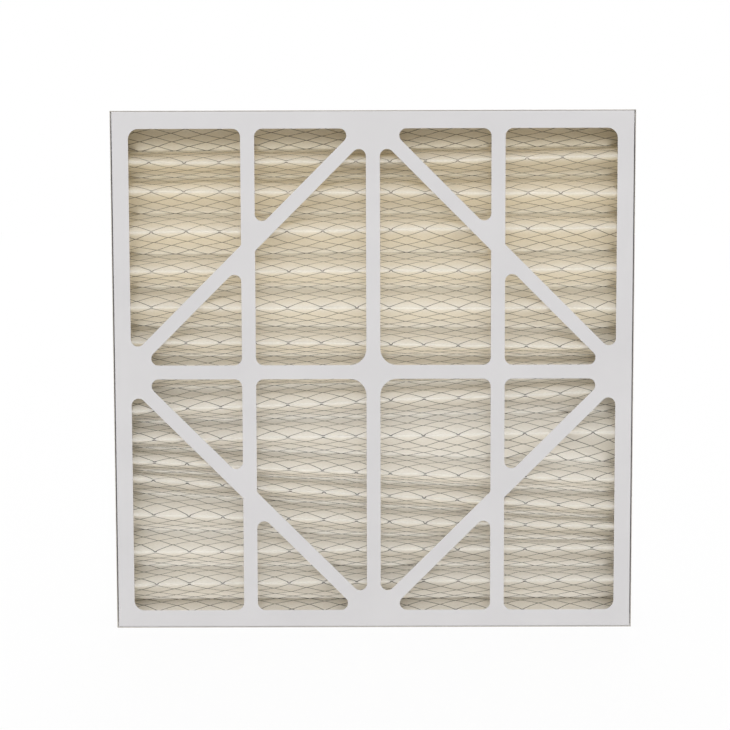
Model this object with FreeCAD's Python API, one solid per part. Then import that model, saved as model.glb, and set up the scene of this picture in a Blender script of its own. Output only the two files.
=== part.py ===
import FreeCAD, Part
import math
import os

V = FreeCAD.Vector

# Overall size, in millimetres: X is the width, Z the height and Y the depth.
# The front, with the support grid behind its windows, looks towards -Y.
# The origin is the middle of the bottom edge, halfway through the depth.
WIDTH = 594.0
HEIGHT = 594.0
DEPTH = 95.0

# Board of the two trays
BOARD = 0.7
CREASE_OUTER = 1.2
CREASE_INNER = CREASE_OUTER - BOARD
GLUE_GAP = 0.15
RIM_SETBACK = 0.3
REAR_GAP = 0.4
TAB_LENGTH = 38.0
TAB_MARGIN = 4.0
TAB_CHAMFER = 6.0
CORNER_SLIT = 0.3

# Die-cut windows: a field inside an even border, crossed by straight bars and a diamond
BORDER = 20.4
BAR = 15.9
BAR_PITCH = 142.0
SQUARE_RADIUS = 9.0
OUTER_RADIUS = 11.6
NOSE_RADIUS = 8.0
BLUNT_RADIUS = 3.0
HUB_RADIUS = 19.0

# Pleated media
MEDIA = 1.4
FOLD_RADIUS = 1.8
FOLD_FACETS = 6
TIP_CLEARANCE = 0.1
END_INSET = 2.8
WALL_CLEARANCE = 0.2

# The zigzag starts and ends at the front, so it has one rear fold more than front folds.
# The leads are from the top and bottom walls to the first and last rear folds. Between them
# the pleats are spread by hand, and each fold strays a little from even spacing.
TOP_LEAD = 42.0
BOTTOM_LEAD = 12.0
FRONT_STRAY = [7, 7, 3, -4, -9, -13, -8, -1, -3, -4, 8, 14, 17, 18]
REAR_STRAY = [0, 6, 1, -7, -9, -18, -14, -8, -10, -17, -11, -2, 1, 2, 0]

# Support grid: one expanded sheet folded with the media, on its front side
GRID = 0.5
GRID_GAP = 0.1
GRID_EDGE = 3.0
GRID_COLUMNS = 4
STRAND = 3.0
FLAT_SHARE = 0.6

# Adhesive along the cut edges of the media
SEAL = 1.2
GRID_INSET = 0.6
BEAD_LENGTH = 8.0


# Sizes that follow from the driving dimensions
MIDDLE = HEIGHT / 2
FRONT = -DEPTH / 2
REAR = DEPTH / 2
FRONT_INSIDE = FRONT + BOARD
REAR_INSIDE = REAR - BOARD
NEST = BOARD + GLUE_GAP
INNER_WIDTH = WIDTH - 2 * (NEST + NEST)
INNER_HEIGHT = HEIGHT - 2 * NEST
WALL_X = INNER_WIDTH / 2 - BOARD
WALL_LOW = NEST + BOARD
WALL_HIGH = HEIGHT - NEST - BOARD
MEDIA_X = WALL_X - SEAL
GRID_X = MEDIA_X - GRID_INSET
GRID_BACK = MEDIA / 2 + GRID_GAP
GRID_FRONT = GRID_BACK + GRID
FRONT_CENTRE = FRONT_INSIDE + TIP_CLEARANCE + FOLD_RADIUS + GRID_FRONT
REAR_CENTRE = REAR_INSIDE - TIP_CLEARANCE - FOLD_RADIUS - MEDIA / 2
END_Y = FRONT_INSIDE + END_INSET


def block(x0, y0, z0, x1, y1, z1):
    """A box between two corners."""
    return Part.makeBox(x1 - x0, y1 - y0, z1 - z0, V(x0, y0, z0))


def rounded_outline(corners):
    """A closed wire in the XZ plane through (x, z, radius) corners, each rounded by an arc."""
    count = len(corners)
    starts, middles, ends = [], [], []
    for i, (x, z, radius) in enumerate(corners):
        here = V(x, 0, z)
        before = V(corners[i - 1][0], 0, corners[i - 1][1]) - here
        after = V(corners[(i + 1) % count][0], 0, corners[(i + 1) % count][1]) - here
        before.normalize()
        after.normalize()
        half = before.getAngle(after) / 2
        bisector = before + after
        bisector.normalize()
        starts.append(here + before * (radius / math.tan(half)))
        ends.append(here + after * (radius / math.tan(half)))
        middles.append(here + bisector * (radius / math.sin(half) - radius))
    edges = []
    for i in range(count):
        edges.append(Part.Arc(starts[i], middles[i], ends[i]).toShape())
        edges.append(Part.LineSegment(ends[i], starts[(i + 1) % count]).toShape())
    return Part.Wire(edges)


def quadrant_windows():
    """Corners of the four windows in the right upper quarter, measured from the centre."""
    field = WIDTH / 2 - BORDER
    half = BAR / 2
    inner_side = BAR_PITCH - half
    outer_side = BAR_PITCH + half
    diamond_out = 2 * BAR_PITCH + half * math.sqrt(2)
    diamond_in = 2 * BAR_PITCH - half * math.sqrt(2)
    corner = [
        (outer_side, field, SQUARE_RADIUS),
        (field, field, OUTER_RADIUS),
        (field, diamond_out - field, NOSE_RADIUS),
        (outer_side, diamond_out - outer_side, BLUNT_RADIUS),
    ]
    upper = [
        (inner_side, field, SQUARE_RADIUS),
        (inner_side, diamond_out - inner_side, NOSE_RADIUS),
        (diamond_out - field, field, NOSE_RADIUS),
    ]
    side = [
        (outer_side, half, SQUARE_RADIUS),
        (diamond_in - half, half, NOSE_RADIUS),
        (outer_side, diamond_in - outer_side, NOSE_RADIUS),
    ]
    hub = [
        (half, half, HUB_RADIUS),
        (inner_side, half, SQUARE_RADIUS),
        (inner_side, diamond_in - inner_side, BLUNT_RADIUS),
        (half, diamond_in - half, NOSE_RADIUS),
    ]
    return [corner, upper, side, hub]


def window_cutters():
    """Prisms of all sixteen windows, long enough to pass a face plate at Y = 0."""
    cutters = []
    for corners in quadrant_windows():
        for sx in (1, -1):
            for sz in (1, -1):
                turned = [(sx * x, MIDDLE + sz * z, r) for x, z, r in corners]
                face = Part.Face(rounded_outline(turned))
                face.translate(V(0, -2, 0))
                cutters.append(face.extrude(V(0, 4, 0)))
    return cutters


def creased_box(width, height, low, length, crease):
    """A box with its face at Y = 0, its walls running to +Y and the face's edges rounded."""
    box = block(-width / 2, 0, low, width / 2, length, low + height)
    edges = [e for e in box.Edges if e.BoundBox.YMax < 1e-6]
    return box.makeFillet(crease, edges)


def glue_tab(half_width, end_z, into, length):
    """A tab that folds from the end of a top or bottom wall along the side wall."""
    outside = half_width - BOARD - GLUE_GAP
    near = TAB_MARGIN
    far = length - TAB_MARGIN
    tip_z = end_z + into * TAB_LENGTH
    points = [
        V(outside, near, end_z),
        V(outside, near + TAB_CHAMFER, tip_z),
        V(outside, far - TAB_CHAMFER, tip_z),
        V(outside, far, end_z),
    ]
    outline = Part.makePolygon(points + points[:1])
    return Part.Face(outline).extrude(V(-BOARD, 0, 0))


def tray(width, height, length):
    """One folded board tray: windowed face, four walls and four pairs of glued corner tabs."""
    low = MIDDLE - height / 2
    high = MIDDLE + height / 2
    shell = creased_box(width, height, low, length, CREASE_OUTER)
    hollow = creased_box(width - 2 * BOARD, height - 2 * BOARD, low + BOARD, length, CREASE_INNER)
    hollow.translate(V(0, BOARD, 0))
    shell = shell.cut(hollow)
    half = width / 2
    slits = []
    tabs = []
    for side in (1, -1):
        for end_z, into in ((high, -1), (low, 1)):
            slit = block(half - BOARD - CORNER_SLIT, CREASE_OUTER, 0, half - BOARD, length, 2 * BOARD)
            slit.translate(V(0, 0, end_z - BOARD))
            tab = glue_tab(half, end_z + into * BOARD / 2, into, length)
            if side < 0:
                slit = slit.mirror(V(0, 0, 0), V(1, 0, 0))
                tab = tab.mirror(V(0, 0, 0), V(1, 0, 0))
            slits.append(slit)
            tabs.append(tab)
    shell = shell.cut(window_cutters())
    shell = shell.cut(slits)
    return shell.fuse(tabs).removeSplitter()


def front_tray():
    """The inner tray. Its face closes the front, and its walls reach almost to the rear face."""
    shape = tray(INNER_WIDTH, INNER_HEIGHT, DEPTH - BOARD - REAR_GAP)
    shape.translate(V(0, FRONT, 0))
    return shape


def rear_tray():
    """The outer tray. Its face closes the rear, and its raw rim frames the front face."""
    shape = tray(WIDTH, HEIGHT, DEPTH - RIM_SETBACK)
    shape.rotate(V(0, 0, 0), V(0, 0, 1), 180)
    shape.translate(V(0, REAR, 0))
    return shape


def fold_centres():
    """Fold centres (y, z) from top to bottom, rear and front folds in turn."""
    first = WALL_HIGH - TOP_LEAD
    pitch = (first - WALL_LOW - BOTTOM_LEAD) / len(FRONT_STRAY)
    centres = []
    for i, stray in enumerate(REAR_STRAY):
        centres.append((REAR_CENTRE, first - i * pitch + stray))
        if i < len(FRONT_STRAY):
            centres.append((FRONT_CENTRE, first - (i + 0.5) * pitch + FRONT_STRAY[i]))
    return centres


def leg_normal(start, end, reach):
    """Unit normal n, pointing down, with (end - start) . n = reach, in the YZ plane."""
    dy = end[0] - start[0]
    dz = end[1] - start[1]
    span = math.hypot(dy, dz)
    along = reach / span
    across = math.sqrt(1 - along * along)
    ey, ez = dy / span, dz / span
    turn = 1 if ey < 0 else -1
    return (along * ey - turn * across * ez, along * ez + turn * across * ey)


def move(point, direction, distance):
    """A point (y, z) moved a signed distance along a direction."""
    return (point[0] + direction[0] * distance, point[1] + direction[1] * distance)


def legs():
    """Straight stretches of the folded sheet, each as (start, end, normal, front side sign).

    The points lie on the sheet's middle surface, and the sign says which way along the
    normal the sheet's front side lies.
    """
    centres = fold_centres()
    top = (END_Y, WALL_HIGH - WALL_CLEARANCE - MEDIA / 2)
    bottom = (END_Y, WALL_LOW + WALL_CLEARANCE + MEDIA / 2)
    n = leg_normal(top, centres[0], FOLD_RADIUS)
    result = [(top, move(centres[0], n, -FOLD_RADIUS), n, 1)]
    for i in range(len(centres) - 1):
        n = leg_normal(centres[i], centres[i + 1], 2 * FOLD_RADIUS)
        start = move(centres[i], n, FOLD_RADIUS)
        end = move(centres[i + 1], n, -FOLD_RADIUS)
        result.append((start, end, n, -1 if i % 2 == 0 else 1))
    n = leg_normal(centres[-1], bottom, FOLD_RADIUS)
    result.append((move(centres[-1], n, FOLD_RADIUS), bottom, n, -1))
    return result


def leg_line(leg):
    """Length and unit direction of a leg."""
    start, end = leg[:2]
    length = math.hypot(end[0] - start[0], end[1] - start[1])
    return length, ((end[0] - start[0]) / length, (end[1] - start[1]) / length)


def fold_points(i, centre, before, after, offset):
    """Points along fold i from one leg to the next, both ends included, as a few flats."""
    radius = FOLD_RADIUS - offset if i % 2 == 0 else FOLD_RADIUS + offset
    first = (-before[2][0], -before[2][1])
    last = after[2]
    angle = math.acos(first[0] * last[0] + first[1] * last[1])
    points = []
    for step in range(FOLD_FACETS + 1):
        share = step / FOLD_FACETS
        w0 = math.sin((1 - share) * angle) / math.sin(angle)
        w1 = math.sin(share * angle) / math.sin(angle)
        points.append(move(move(centre, first, radius * w0), last, radius * w1))
    return points


def side_points(offset):
    """Corners (y, z) of the folded sheet's section, offset towards its front side."""
    runs = legs()
    start, _, n, sign = runs[0]
    points = [move(start, n, sign * offset)]
    for i, centre in enumerate(fold_centres()):
        points += fold_points(i, centre, runs[i], runs[i + 1], offset)
    _, end, n, sign = runs[-1]
    points.append(move(end, n, sign * offset))
    return points


def folded_sheet(half_width, back, front):
    """A folded sheet as wide as stated, between two offsets from the middle surface."""
    outline = side_points(back) + side_points(front)[::-1]
    corners = [V(-half_width, *point) for point in outline]
    return Part.Face(Part.makePolygon(corners + corners[:1])).extrude(V(2 * half_width, 0, 0))


def leg_cutter(leg, points):
    """A prism through the grid on one leg, from (x, distance along the leg) points."""
    start, _, n, sign = leg
    _, along = leg_line(leg)
    depth = GRID + 2 * GRID_GAP
    base = move(start, n, sign * (GRID_BACK + GRID_FRONT) / 2 - depth / 2)
    corners = [V(x, *move(base, along, s)) for x, s in points]
    face = Part.Face(Part.makePolygon(corners + corners[:1]))
    return face.extrude(V(0, n[0], n[1]) * depth)


def leg_openings(leg, pitch):
    """Openings of one leg, pointed at both ends."""
    length, _ = leg_line(leg)
    half_s = (length - STRAND) / 2
    half_x = (pitch - STRAND) / 2
    middle = length / 2
    cutters = []
    for column in range(GRID_COLUMNS):
        x = (column - (GRID_COLUMNS - 1) / 2) * pitch
        points = [(x - half_x, middle)]
        points += [(x - half_x * FLAT_SHARE, middle + half_s), (x + half_x * FLAT_SHARE, middle + half_s)]
        points += [(x + half_x, middle)]
        points += [(x + half_x * FLAT_SHARE, middle - half_s), (x - half_x * FLAT_SHARE, middle - half_s)]
        cutters.append(leg_cutter(leg, points))
    return cutters


def support_grid():
    """The expanded sheet with its pointed openings, one row of them on each leg."""
    sheet = folded_sheet(GRID_X, GRID_BACK, GRID_FRONT)
    pitch = 2 * (GRID_X - GRID_EDGE) / GRID_COLUMNS
    cutters = []
    for leg in legs():
        cutters += leg_openings(leg, pitch)
    return sheet.cut(cutters).removeSplitter()


def side_seal(side):
    """Adhesive that beds the media's zigzag edge on one side wall of the front tray."""
    x0, x1 = sorted((side * MEDIA_X, side * WALL_X))
    return block(x0, FRONT_INSIDE, WALL_LOW, x1, REAR_INSIDE - REAR_GAP, WALL_HIGH)


def end_bead(which):
    """Adhesive fillet between the media's last leg and the top or bottom wall."""
    leg = legs()[which]
    start, end, n, sign = leg
    _, along = leg_line(leg)
    wall = WALL_HIGH if which == 0 else WALL_LOW
    near = move(start if which == 0 else end, n, -sign * MEDIA / 2)
    far = move(near, along, BEAD_LENGTH if which == 0 else -BEAD_LENGTH)
    corners = [V(-MEDIA_X, near[0], wall), V(-MEDIA_X, *near), V(-MEDIA_X, *far), V(-MEDIA_X, far[0], wall)]
    return Part.Face(Part.makePolygon(corners + corners[:1])).extrude(V(2 * MEDIA_X, 0, 0))


def build():
    """Every piece of the filter by name."""
    front = front_tray()
    return {
        "front_tray": front,
        "rear_tray": rear_tray(),
        "pleated_media": folded_sheet(MEDIA_X, -MEDIA / 2, MEDIA / 2),
        "support_grid": support_grid(),
        "left_seal": side_seal(-1).cut(front),
        "right_seal": side_seal(1).cut(front),
        "top_bead": end_bead(0),
        "bottom_bead": end_bead(-1),
    }


os.makedirs("parts", exist_ok=True)
for name, shape in build().items():
    shape.exportStep("parts/" + name + ".step")
    print(name, shape.ShapeType, len(shape.Solids), "solids", round(shape.Volume), "mm3", shape.isValid())
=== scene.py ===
import bpy
import math
import numpy as np
from mathutils import Matrix


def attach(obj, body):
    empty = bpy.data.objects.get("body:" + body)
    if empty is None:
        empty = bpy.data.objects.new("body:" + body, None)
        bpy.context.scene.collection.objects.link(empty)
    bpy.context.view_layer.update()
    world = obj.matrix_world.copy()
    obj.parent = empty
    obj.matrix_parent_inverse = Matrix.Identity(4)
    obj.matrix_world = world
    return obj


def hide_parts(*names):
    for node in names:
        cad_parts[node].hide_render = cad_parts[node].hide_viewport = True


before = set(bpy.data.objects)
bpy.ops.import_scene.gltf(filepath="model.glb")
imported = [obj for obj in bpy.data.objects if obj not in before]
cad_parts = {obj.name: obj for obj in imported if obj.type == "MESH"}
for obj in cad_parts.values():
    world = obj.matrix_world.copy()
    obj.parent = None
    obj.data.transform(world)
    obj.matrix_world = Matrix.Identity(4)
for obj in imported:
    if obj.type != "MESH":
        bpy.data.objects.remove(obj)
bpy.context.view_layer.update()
scene = bpy.context.scene
scene.view_settings.view_transform = "Standard"
scene.cycles.diffuse_bounces = 10
MM = 0.001

# Camera at the photograph's viewing angle: in front, level with the top, looking slightly down
YAW, PITCH, ROLL = (math.radians(a) for a in (0.1016, -6.0891, 0.1637))
CAMERA_PLACE = (-0.00527, -2.46273, 0.56272)
camera_data = bpy.data.cameras.new("camera")
camera_data.sensor_width = 36.0
camera_data.lens = 104.91
camera_data.clip_end = 50.0
camera = bpy.data.objects.new("camera", camera_data)
scene.collection.objects.link(camera)
turn = Matrix.Rotation(YAW, 4, "Z") @ Matrix.Rotation(PITCH, 4, "X")
turn = turn @ Matrix.Rotation(ROLL, 4, "Y")
upright = Matrix.Rotation(math.pi / 2, 4, "X")
camera.matrix_world = Matrix.Translation(CAMERA_PLACE) @ turn @ upright
scene.camera = camera

# Places of the pleats as in the model, in millimetres
HALF_WIDTH = 293.4
GRID_HALF = 292.8
WALL_LOW, WALL_HIGH = 1.55, 592.45
END_GAP = 0.9
TOP_LEAD, BOTTOM_LEAD = 42.0, 12.0
FRONT_CENTRE, REAR_CENTRE = -44.7, 45.3
END_Y = -44.0
FOLD_RADIUS = 0.7
MEDIA_THICKNESS = 1.4
FRONT_STRAY = [7, 7, 3, -4, -9, -13, -8, -1, -3, -4, 8, 14, 17, 18]
REAR_STRAY = [0, 6, 1, -7, -9, -18, -14, -8, -10, -17, -11, -2, 1, 2, 0]
FOLDS = len(FRONT_STRAY) + len(REAR_STRAY)
LEGS = FOLDS + 1
LAST_LEG = LEGS - 1

# How each fold departs from there: raised, leaning from side to side, bowed, and set back
FRONT_LIFT = 1.2
FRONT_LEAN = [6, -4, 5, 2, -2, -8, 7, 23, 8, -24, -36, -17, 4, 5]
REAR_LEAN = [5, 2, 0, 3, -1, -4, -1, 14, 12, -19, -28, -32, -15, -1, 1]
FRONT_BOW = [-3, 0, 0, -1, 0, 1, 0, 0, 0, -3, -3, -1, 1, 1]
FRONT_SET_BACK = 0.2
REAR_WAVE_SHARE = 0.6

# Swell of the legs, and of the sheet between the strands, which fades out at the side walls
END_BULGE, UPPER_BULGE, LOWER_BULGE = 5.0, 2.2, 1.0
PILLOW, PILLOW_FADE = 0.35, 10.0

# How far the sheet lies inside the media's front side, so that the strands rest on it
SHEET_SUNK = 0.05

# Points of the sheet: columns across, and shares along a leg, close together at the folds
SHEET_COLUMNS = 116
AFTER_FOLD, BEFORE_FOLD = [0.0, 0.005, 0.010, 0.0155], [0.9845, 0.990, 0.995]
MID_LEG = np.linspace(0.04, 0.96, 12)

# Columns of diamonds across the width, and rows of them down each leg
COLUMN = 19.4
ROWS = [7] + [5] * LAST_LEG
ROW_START = [sum(ROWS[:k]) for k in range(LEGS + 1)]

# Strands in millimetres, with their heights over the middle of the sheet
STRAND_WIDTH = 1.15
STRAND_LOW, STRAND_HIGH, STRAND_TILT = 0.55, 0.80, 0.06
BOND = 2.4
PROFILE_STEP = 0.5

# Stray of the bonds, in millimetres across and in rows down, and what a fold keeps of the latter
BOND_STRAY = (1.3, 0.1)
FOLD_KEEPS = 0.4
chance = np.random.default_rng(11)


def waves(count, size, longest):
    """Slow random waves across the width, one per fold or leg, as (amplitude, rate, phase)."""
    table = []
    for _ in range(count):
        parts = []
        for step in (1, 2, 3):
            amplitude = size * chance.uniform(0.3, 1.0) / step
            rate = step * 2 * math.pi / longest * chance.uniform(0.7, 1.3)
            parts.append((amplitude, rate, chance.uniform(0, 6.28)))
        table.append(parts)
    return table


def wave(parts, x):
    return sum(a * math.sin(rate * x + phase) for a, rate, phase in parts)


fold_waves = waves(FOLDS, size=0.5, longest=260.0)
depth_waves = waves(FOLDS, size=0.5, longest=200.0)
leg_waves = waves(LEGS, size=1.1, longest=240.0)


def centres_at(x):
    """Fold centres (y, z) from top to bottom at one place across the width."""
    first = WALL_HIGH - TOP_LEAD
    pitch = (first - WALL_LOW - BOTTOM_LEAD) / len(FRONT_STRAY)
    u = x / HALF_WIDTH
    centres = []
    for i, stray in enumerate(REAR_STRAY):
        z = first - i * pitch + stray + REAR_LEAN[i] * u / 2
        centres.append((REAR_CENTRE, z + wave(fold_waves[2 * i], x) * REAR_WAVE_SHARE))
        if i < len(FRONT_STRAY):
            z = first - (i + 0.5) * pitch + FRONT_STRAY[i] + FRONT_LEAN[i] * u / 2
            z = z + FRONT_BOW[i] * (1 - u * u) + FRONT_LIFT
            back = max(0.0, wave(depth_waves[2 * i + 1], x) + FRONT_SET_BACK)
            centres.append((FRONT_CENTRE + back, z + wave(fold_waves[2 * i + 1], x)))
    return centres


def leg_normal(start, end, reach):
    """Normal of the leg that touches two fold circles, reach being the sum of their radii."""
    dy, dz = end[0] - start[0], end[1] - start[1]
    span = math.hypot(dy, dz)
    along = reach / span
    across = math.sqrt(1 - along * along)
    ey, ez = dy / span, dz / span
    side = 1 if ey < 0 else -1
    return (along * ey - side * across * ez, along * ez + side * across * ey)


def profile(x):
    """The sheet's section at x: one (pieces, length) per leg, from fold apex to fold apex.

    A leg is an arc out of the upper fold, a straight run and an arc into the lower fold. An arc
    has its centre, the direction to its apex and its normal where it meets the run. A run has its
    start, its end and the front side's normal.
    """
    top = (END_Y, WALL_HIGH - END_GAP)
    bottom = (END_Y, WALL_LOW + END_GAP)
    ends = [top] + centres_at(x) + [bottom]
    normals = []
    for k in range(LEGS):
        reach = FOLD_RADIUS * (1 if k in (0, LAST_LEG) else 2)
        normals.append(leg_normal(ends[k], ends[k + 1], reach))
    legs = []
    for k, n in enumerate(normals):
        opposite = (-n[0], -n[1])
        upper, lower = ends[k], ends[k + 1]
        start, end = upper, lower
        pieces = []
        if k > 0:
            before = normals[k - 1]
            apex = (n[0] - before[0], n[1] - before[1])
            pieces.append(("out", upper, apex, n))
            start = (upper[0] + n[0] * FOLD_RADIUS, upper[1] + n[1] * FOLD_RADIUS)
        if k < LAST_LEG:
            end = (lower[0] - n[0] * FOLD_RADIUS, lower[1] - n[1] * FOLD_RADIUS)
        pieces.append(("run", start, end, opposite if k % 2 else n))
        if k < LAST_LEG:
            after = normals[k + 1]
            apex = (after[0] - n[0], after[1] - n[1])
            pieces.append(("in", lower, apex, opposite))
        legs.append(measure(pieces))
    return legs


def measure(pieces):
    """Gives each piece of a leg its length, and each arc the unit vector to its apex."""
    result = []
    for kind, a, b, n in pieces:
        if kind == "run":
            result.append((kind, a, b, n, math.hypot(b[0] - a[0], b[1] - a[1])))
            continue
        size = math.hypot(*b)
        apex = (b[0] / size, b[1] / size)
        angle = math.acos(max(-1.0, min(1.0, apex[0] * n[0] + apex[1] * n[1])))
        result.append((kind, a, apex, n, angle * FOLD_RADIUS))
    return result, sum(size for *_, size in result)


def bulge(k, t):
    """Swell of a leg to the front side, in millimetres, at share t of the leg.

    It is fullest not far behind a front fold, and in the lowest leg at the middle.
    """
    if k == 0:
        return END_BULGE * math.sin(math.pi * (1 - t) ** 2)
    if k == LAST_LEG:
        return END_BULGE * math.sin(math.pi * t)
    if k % 2:
        return UPPER_BULGE * math.sin(math.pi * t * t)
    return LOWER_BULGE * math.sin(math.pi * (1 - t) ** 2)


def place(leg, k, t, x, lift):
    """Point (y, z) and the front side's normal at share t of a leg, lifted off the middle."""
    pieces, length = leg
    s = t * length
    for index, (kind, a, b, n, size) in enumerate(pieces):
        if s <= size or index == len(pieces) - 1:
            break
        s -= size
    bend = wave(leg_waves[k], x) * math.sin(math.pi * t) ** 2 + bulge(k, t)
    if kind == "run":
        share = s / size
        y, z = a[0] + (b[0] - a[0]) * share, a[1] + (b[1] - a[1]) * share
        normal = n
    else:
        angle = size / FOLD_RADIUS
        done = s / size if kind == "in" else 1 - s / size
        w0 = math.sin((1 - done) * angle) / math.sin(angle)
        w1 = math.sin(done * angle) / math.sin(angle)
        d = (n[0] * w0 + b[0] * w1, n[1] * w0 + b[1] * w1)
        y, z = a[0] + d[0] * FOLD_RADIUS, a[1] + d[1] * FOLD_RADIUS
        outward = -1 if b[0] > 0 else 1
        normal = (d[0] * outward, d[1] * outward)
    return y + normal[0] * (lift + bend), z + normal[1] * (lift + bend), normal


def new_mesh(name, vertices, faces, smooth=True):
    """An object from points in millimetres."""
    mesh = bpy.data.meshes.new(name)
    mesh.from_pydata([(x * MM, y * MM, z * MM) for x, y, z in vertices], [], faces)
    mesh.validate()
    if smooth:
        mesh.polygons.foreach_set("use_smooth", [True] * len(mesh.polygons))
    mesh.update()
    piece = bpy.data.objects.new(name, mesh)
    scene.collection.objects.link(piece)
    return piece


def pillow(row, x):
    """How far the media swells between the strands, from 0 on a strand to 1 in an opening."""
    c = x / COLUMN + 1
    return math.sin(math.pi * (c + row) / 2) ** 2 * math.sin(math.pi * (c - row) / 2) ** 2


def pleated_media():
    """The folded sheet, as the surface that the grid lies on."""
    stations = []
    for k in range(LEGS):
        first = AFTER_FOLD if k else [0.0]
        last = BEFORE_FOLD if k < LAST_LEG else [1.0]
        stations += [(k, t) for t in (*first, *MID_LEG, *last)]
    vertices, faces = [], []
    for j in range(SHEET_COLUMNS + 1):
        x = -HALF_WIDTH + 2 * HALF_WIDTH * j / SHEET_COLUMNS
        fade = min(1.0, abs(HALF_WIDTH - abs(x)) / PILLOW_FADE)
        legs = profile(x)
        for k, t in stations:
            swell = PILLOW * pillow(ROW_START[k] + t * ROWS[k], x) * fade
            y, z, _ = place(legs[k], k, t, x, MEDIA_THICKNESS / 2 - SHEET_SUNK + swell)
            vertices.append((x, y, z))
    rows = len(stations)
    for j in range(SHEET_COLUMNS):
        for i in range(rows - 1):
            a, b = j * rows + i, (j + 1) * rows + i
            faces.append((a, a + 1, b + 1, b))
    return new_mesh("pleated_fabric", vertices, faces)


def strand_stations(m):
    """Shares along one slanting run of a strand, close together where it turns a fold."""
    if m in ROW_START:
        return [0.0, 0.026, 0.052, 0.08, 0.25, 0.6, 1.0]
    if m + 1 in ROW_START:
        return [0.0, 0.4, 0.75, 0.92, 0.948, 0.974, 1.0]
    return [0.0, 0.5, 1.0]


def strand_line(m, reach, shift):
    """One zigzag strand between rows m and m + 1, as points (x, row)."""
    near = STRAND_WIDTH / 2 / COLUMN
    shares = strand_stations(m)
    line = []
    for c in range(-reach, reach):
        up = (c + m) % 2 != 0
        r0 = m + near if up else m + 1 - near
        r1 = m + 1 - near if up else m + near
        x0, x1 = c * COLUMN + BOND / 2, (c + 1) * COLUMN - BOND / 2
        move0 = shift[m if up else m + 1, c + reach]
        move1 = shift[m + 1 if up else m, c + 1 + reach]
        x0, r0, x1, r1 = x0 + move0[0], r0 + move0[1], x1 + move1[0], r1 + move1[1]
        for share in (shares if up else [1 - s for s in reversed(shares)]):
            line.append((x0 + (x1 - x0) * share, r0 + (r1 - r0) * share))
    return [p for p in line if abs(p[0]) <= GRID_HALF]


def expanded_grid():
    """Expanded metal: zigzag strands that join where they touch, folded with the media."""
    section = ((-1, STRAND_LOW), (-1, STRAND_HIGH - STRAND_TILT), (1, STRAND_HIGH), (1, STRAND_LOW))
    profiles = {}
    vertices, faces = [], []
    total = ROW_START[LEGS]
    reach = int(GRID_HALF // COLUMN) + 1
    shift = chance.uniform(-1.0, 1.0, (total + 1, 2 * reach + 1, 2)) * BOND_STRAY
    shift[ROW_START, :, 1] *= FOLD_KEEPS
    shift[[0, total], :, 1] = 0
    for m in range(total):
        line = strand_line(m, reach, shift)
        first = len(vertices)
        for i, (x, row) in enumerate(line):
            before, after = line[max(0, i - 1)], line[min(len(line) - 1, i + 1)]
            dx, ds = after[0] - before[0], (after[1] - before[1]) * COLUMN
            size = math.hypot(dx, ds)
            side = (-ds / size, dx / size)
            key = round(x / PROFILE_STEP) * PROFILE_STEP
            if key not in profiles:
                profiles[key] = profile(key)
            k = max(k for k in range(LEGS) if ROW_START[k] <= max(row, 0))
            t = (row - ROW_START[k]) / ROWS[k]
            y, z, n = place(profiles[key][k], k, t, key, 0.0)
            tangent = (-n[1], n[0])
            for across, lift in section:
                w = across * STRAND_WIDTH / 2
                px = x + side[0] * w
                py = y + n[0] * lift + tangent[0] * side[1] * w
                pz = z + n[1] * lift + tangent[1] * side[1] * w
                vertices.append((max(-GRID_HALF, min(GRID_HALF, px)), py, pz))
        for i in range(len(line) - 1):
            a, b = first + 4 * i, first + 4 * (i + 1)
            for q in range(3):
                faces.append((a + q, a + q + 1, b + q + 1, b + q))
    return new_mesh("expanded_metal_grid", vertices, faces, smooth=False)


# Nodes that the materials and the stage share
def material(name):
    """A new material, its nodes, its links and its shader."""
    made = bpy.data.materials.new(name)
    made.use_nodes = True
    nodes, links = made.node_tree.nodes, made.node_tree.links
    return made, nodes, links, nodes["Principled BSDF"]


def noise(nodes, links, coordinates, scale, detail, stretch=None):
    texture = nodes.new("ShaderNodeTexNoise")
    texture.inputs["Scale"].default_value = scale
    texture.inputs["Detail"].default_value = detail
    source = coordinates
    if stretch:
        mapping = nodes.new("ShaderNodeMapping")
        mapping.inputs["Scale"].default_value = stretch
        links.new(source, mapping.inputs["Vector"])
        source = mapping.outputs["Vector"]
    links.new(source, texture.inputs["Vector"])
    return texture.outputs["Fac"]


def ramp(nodes, links, factor, low, high):
    """Colour between two stops, each given as (position, colour)."""
    made = nodes.new("ShaderNodeValToRGB")
    for element, (position, colour) in zip(made.color_ramp.elements, (low, high)):
        element.position, element.color = position, (*colour, 1)
    links.new(factor, made.inputs["Fac"])
    return made.outputs["Color"]


def connect(links, socket, value):
    """Gives a socket a number or a colour, or links it to another node's output."""
    if isinstance(value, (int, float, tuple)):
        socket.default_value = value
    else:
        links.new(value, socket)


def math_node(nodes, links, operation, a, b=0.0):
    made = nodes.new("ShaderNodeMath")
    made.operation = operation
    connect(links, made.inputs[0], a)
    connect(links, made.inputs[1], b)
    return made.outputs[0]


def map_range(nodes, links, value, source, target):
    """Carries a value from the source range to the target range, and holds it at the ends."""
    made = nodes.new("ShaderNodeMapRange")
    names = ("From Min", "From Max", "To Min", "To Max")
    for name, number in zip(names, (*source, *target)):
        made.inputs[name].default_value = number
    links.new(value, made.inputs["Value"])
    return made.outputs["Result"]


def mix_colour(nodes, links, factor, a, b, blend_type="MIX"):
    made = nodes.new("ShaderNodeMix")
    made.data_type, made.blend_type = "RGBA", blend_type
    for name, value in (("Factor", factor), ("A", a), ("B", b)):
        connect(links, made.inputs[name], value)
    return made.outputs["Result"]


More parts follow.
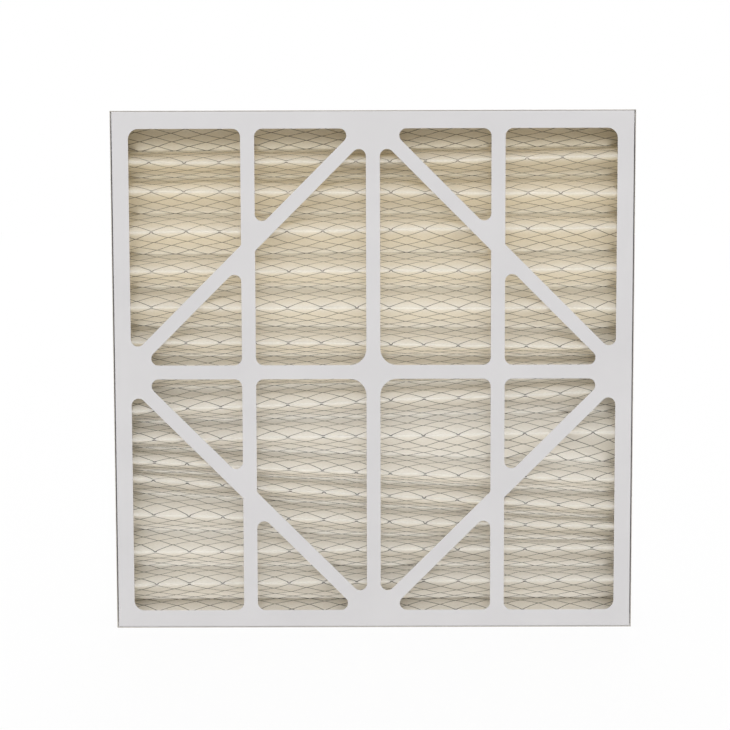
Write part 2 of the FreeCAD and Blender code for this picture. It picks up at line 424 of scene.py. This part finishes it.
def split(nodes, links, vector):
    """The X, Y and Z outputs of a vector."""
    made = nodes.new("ShaderNodeSeparateXYZ")
    links.new(vector, made.inputs["Vector"])
    return made.outputs


def roughen(nodes, links, shader, height, strength, distance):
    bump = nodes.new("ShaderNodeBump")
    bump.inputs["Strength"].default_value = strength
    bump.inputs["Distance"].default_value = distance
    links.new(height, bump.inputs["Height"])
    links.new(bump.outputs["Normal"], shader.inputs["Normal"])


def show_blend(nodes, links, share, first, second, output):
    """Sends a blend of two shaders to the surface: first at share 0, second at share 1."""
    blend = nodes.new("ShaderNodeMixShader")
    for socket, value in zip(blend.inputs, (share, first, second)):
        links.new(value, socket)
    links.new(blend.outputs["Shader"], nodes[output].inputs["Surface"])


# Materials
def media_material():
    """Nonwoven that lets light through, with painted shade: warm high up and deep in, paler low
    down and at the front.

    Ranges of height and depth are in metres. Depth is least at the front folds.
    """
    made, nodes, links, shader = material("cream_nonwoven")
    position = nodes.new("ShaderNodeNewGeometry").outputs["Position"]
    _, depth, height = split(nodes, links, position)
    cloudy = noise(nodes, links, position, scale=60.0, detail=3.0)
    fibre = noise(nodes, links, position, scale=420.0, detail=6.0, stretch=(1.0, 1.0, 2.2))
    # Painted shade: the colour turns warm high up and deep in the pleats, where shade falls, and
    # stays pale low down and at the front
    warm_painted_shade = ramp(nodes, links, cloudy, (0.3, (0.897, 0.868, 0.80)), (0.7, (0.922, 0.897, 0.842)))
    pale = ramp(nodes, links, cloudy, (0.3, (0.938, 0.93, 0.911)), (0.7, (0.955, 0.949, 0.932)))
    painted_by_height = map_range(nodes, links, height, (0.24, 0.56), (0.05, 1.0))
    inward_painted_shade = map_range(nodes, links, depth, (-0.046, -0.030), (0.35, 1.0))
    painted_shade_warmth = math_node(nodes, links, "MULTIPLY", painted_by_height, inward_painted_shade)
    tint = mix_colour(nodes, links, painted_shade_warmth, pale, warm_painted_shade)
    streak = ramp(nodes, links, fibre, (0.3, (0.93, 0.92, 0.90)), (0.65, (1.0, 1.0, 1.0)))
    streaked = mix_colour(nodes, links, 1.0, tint, streak, "MULTIPLY")

    # Painted shade: the crests of the front folds are painted a little darker, so that they don't
    # glare
    crest_painted_shade = map_range(nodes, links, depth, (-0.0460, -0.0425), (0.9, 1.0))
    scaled = nodes.new("ShaderNodeVectorMath")
    scaled.operation = "SCALE"
    links.new(streaked, scaled.inputs["Vector"])
    links.new(crest_painted_shade, scaled.inputs["Scale"])
    colour = scaled.outputs["Vector"]
    links.new(colour, shader.inputs["Base Color"])
    shader.inputs["Roughness"].default_value = 0.95
    shader.inputs["Specular IOR Level"].default_value = 0.15
    roughen(nodes, links, shader, fibre, strength=0.35, distance=0.0006)

    # Light that comes through the sheet is warmer than light off it, and warmer still where the
    # painted shade is warm
    glow = mix_colour(nodes, links, painted_shade_warmth, (1.0, 0.98, 0.945, 1), (1.0, 0.955, 0.84, 1))
    through = nodes.new("ShaderNodeBsdfTranslucent")
    warmed = mix_colour(nodes, links, 1.0, colour, glow, "MULTIPLY")
    links.new(warmed, through.inputs["Color"])

    # Less light passes at the sheet's low end and at the rear folds, more at the front folds
    lying = map_range(nodes, links, height, (0.006, 0.013), (0.15, 0.66))
    pressed = map_range(nodes, links, depth, (0.041, 0.0455), (1.0, 0.2))
    thinned = map_range(nodes, links, depth, (-0.0455, -0.041), (1.16, 1.0))
    clear = math_node(nodes, links, "MULTIPLY", lying, pressed)
    clear = math_node(nodes, links, "MULTIPLY", clear, thinned)
    surface, passing = shader.outputs["BSDF"], through.outputs["BSDF"]
    show_blend(nodes, links, clear, surface, passing, "Material Output")
    return made


def grid_material():
    """Thin metal strands, with painted shade that makes them dark low down, and painted warm light
    that makes them browner and lighter high up.
    """
    made, nodes, links, shader = material("galvanised_strand")
    position = nodes.new("ShaderNodeNewGeometry").outputs["Position"]
    patch = noise(nodes, links, position, scale=180.0, detail=3.0)
    height = split(nodes, links, position)["Z"]
    # Painted shade low down and painted warm light high up, by height
    painted_by_height = map_range(nodes, links, height, (0.28, 0.50), (0.0, 1.0))
    painted_shade_dark = ramp(nodes, links, patch, (0.3, (0.042, 0.041, 0.040)), (0.7, (0.085, 0.083, 0.080)))
    painted_light_brown = ramp(nodes, links, patch, (0.3, (0.16, 0.139, 0.11)), (0.7, (0.24, 0.214, 0.176)))
    links.new(mix_colour(nodes, links, painted_by_height, painted_shade_dark, painted_light_brown), shader.inputs["Base Color"])
    shader.inputs["Metallic"].default_value = 0.3
    shader.inputs["Roughness"].default_value = 0.45
    return made


# Where the board's faces lie, in metres, and the least share of a normal that faces the front
MIDDLE_HEIGHT = 0.297
CUT_DEPTH, RIM_DEPTH = 0.04677, 0.0465
CUT_WITHIN, RIM_BEYOND = 0.2935, 0.2958
FACING = 0.6


def board_material():
    """Clay-coated board: smooth coat outside, paler plain inside and cut edges, raw rim."""
    made, nodes, links, shader = material("coated_board")
    geometry = nodes.new("ShaderNodeNewGeometry")
    position = geometry.outputs["Position"]
    x, y, z = split(nodes, links, position)
    nx, ny, nz = split(nodes, links, geometry.outputs["True Normal"])

    def calc(operation, a, b=0.0):
        return math_node(nodes, links, operation, a, b)

    # Faces turned towards the middle of the box are the board's inside
    height = calc("SUBTRACT", z, MIDDLE_HEIGHT)
    out = calc("MULTIPLY", x, nx)
    out = calc("ADD", out, calc("MULTIPLY", y, ny))
    out = calc("ADD", out, calc("MULTIPLY", height, nz))
    inside = calc("LESS_THAN", out, 0.0)

    # Cut edges of the windows, then the rear tray's rim round the front face
    far = calc("MAXIMUM", calc("ABSOLUTE", x), calc("ABSOLUTE", height))
    sideways = calc("LESS_THAN", calc("ABSOLUTE", ny), FACING)
    edge = calc("MULTIPLY", calc("GREATER_THAN", calc("ABSOLUTE", y), CUT_DEPTH), sideways)
    edge = calc("MULTIPLY", edge, calc("LESS_THAN", far, CUT_WITHIN))
    rim = calc("MULTIPLY", calc("LESS_THAN", ny, -FACING), calc("GREATER_THAN", far, RIM_BEYOND))
    rim = calc("MULTIPLY", rim, calc("GREATER_THAN", calc("MULTIPLY", y, -1.0), RIM_DEPTH))

    cloudy = noise(nodes, links, position, scale=14.0, detail=3.0)
    grain = noise(nodes, links, position, scale=900.0, detail=4.0)
    coat = ramp(nodes, links, cloudy, (0.3, (0.482, 0.473, 0.478)), (0.7, (0.503, 0.494, 0.498)))
    raw = ramp(nodes, links, grain, (0.3, (0.36, 0.335, 0.30)), (0.7, (0.46, 0.43, 0.39)))
    lining = ramp(nodes, links, grain, (0.3, (0.72, 0.70, 0.665)), (0.7, (0.80, 0.785, 0.755)))
    colour = coat
    for mask, layer in ((inside, lining), (rim, raw), (edge, (0.62, 0.60, 0.58, 1))):
        colour = mix_colour(nodes, links, mask, colour, layer)
    links.new(colour, shader.inputs["Base Color"])
    shader.inputs["Roughness"].default_value = 0.5
    shader.inputs["Specular IOR Level"].default_value = 0.35
    roughen(nodes, links, shader, grain, strength=0.12, distance=0.0003)
    return made


def glue_material():
    made, nodes, links, shader = material("hardened_glue")
    position = nodes.new("ShaderNodeNewGeometry").outputs["Position"]
    cloudy = noise(nodes, links, position, scale=90.0, detail=4.0)
    amber = ramp(nodes, links, cloudy, (0.3, (0.78, 0.74, 0.62)), (0.7, (0.86, 0.83, 0.73)))
    links.new(amber, shader.inputs["Base Color"])
    shader.inputs["Roughness"].default_value = 0.35
    roughen(nodes, links, shader, cloudy, strength=0.4, distance=0.0008)
    return made


def paint(piece, made):
    piece.data.materials.clear()
    piece.data.materials.append(made)


# Pieces
media = pleated_media()
paint(media, media_material())
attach(media, "root")
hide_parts("pleated_media")

grid = expanded_grid()
paint(grid, grid_material())
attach(grid, "root")
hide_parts("support_grid")

board = board_material()
glue = glue_material()
for name in ("front_tray", "rear_tray"):
    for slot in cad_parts[name].material_slots:
        slot.material = board
for name in ("left_seal", "right_seal", "top_bead", "bottom_bead"):
    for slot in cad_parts[name].material_slots:
        slot.material = glue

# Floor, background and light; the floor's own white has its strength and its share of the look
FLOOR_CORNERS = [(-8, -6, 0), (8, -6, 0), (8, 10, 0), (-8, 10, 0)]
FLOOR_WHITE, FLOOR_SHARE = 1.04, 0.88
WHITE = (1, 1, 1, 1)


def looked_at(nodes, links):
    """1 for rays that reach the eye straight, through a clear piece or by a mirror image."""
    rays = nodes.new("ShaderNodeLightPath").outputs
    seen = math_node(nodes, links, "MAXIMUM", rays["Is Camera Ray"], rays["Is Transmission Ray"])
    return math_node(nodes, links, "MAXIMUM", seen, rays["Is Glossy Ray"])


def stage_floor():
    """A floor that looks white and keeps a little of the object's shadow."""
    mesh = bpy.data.meshes.new("floor")
    mesh.from_pydata(FLOOR_CORNERS, [], [(0, 1, 2, 3)])
    floor = bpy.data.objects.new("floor", mesh)
    scene.collection.objects.link(floor)
    made, nodes, links, shader = material("pale_floor")
    shader.inputs["Base Color"].default_value = (0.55, 0.55, 0.55, 1)
    shader.inputs["Roughness"].default_value = 0.9
    light = nodes.new("ShaderNodeEmission")
    light.inputs["Color"].default_value = WHITE
    light.inputs["Strength"].default_value = FLOOR_WHITE
    share = math_node(nodes, links, "MULTIPLY", looked_at(nodes, links), FLOOR_SHARE)
    lit, white = shader.outputs["BSDF"], light.outputs["Emission"]
    show_blend(nodes, links, share, lit, white, "Material Output")
    mesh.materials.append(made)


def stage_world():
    """White where it is looked at, and a grey light on the object, a little more from above."""
    world = bpy.data.worlds.new("studio")
    scene.world = world
    world.use_nodes = True
    nodes, links = world.node_tree.nodes, world.node_tree.links
    ambient = nodes["Background"]
    ambient.inputs["Color"].default_value = WHITE
    direction = nodes.new("ShaderNodeTexCoord").outputs["Generated"]
    upward = split(nodes, links, direction)["Z"]
    level = map_range(nodes, links, upward, (-0.1, 0.5), (0.58, 0.68))
    links.new(level, ambient.inputs["Strength"])
    backdrop = nodes.new("ShaderNodeBackground")
    backdrop.inputs["Color"].default_value = WHITE
    backdrop.inputs["Strength"].default_value = 1.0
    grey, white = ambient.outputs["Background"], backdrop.outputs["Background"]
    show_blend(nodes, links, looked_at(nodes, links), grey, white, "World Output")


def sun(name, strength, elevation, azimuth, spread):
    """A soft distant lamp, its angles in degrees: azimuth 0 is the front and 180 the back."""
    data = bpy.data.lights.new(name, "SUN")
    data.energy = strength
    data.angle = math.radians(spread)
    lamp = bpy.data.objects.new(name, data)
    scene.collection.objects.link(lamp)
    lamp.rotation_euler = (math.radians(90 - elevation), 0, math.radians(azimuth))


stage_floor()
stage_world()
sun("key", strength=2.45, elevation=27, azimuth=0, spread=18)
sun("back", strength=1.2, elevation=14, azimuth=180, spread=40)
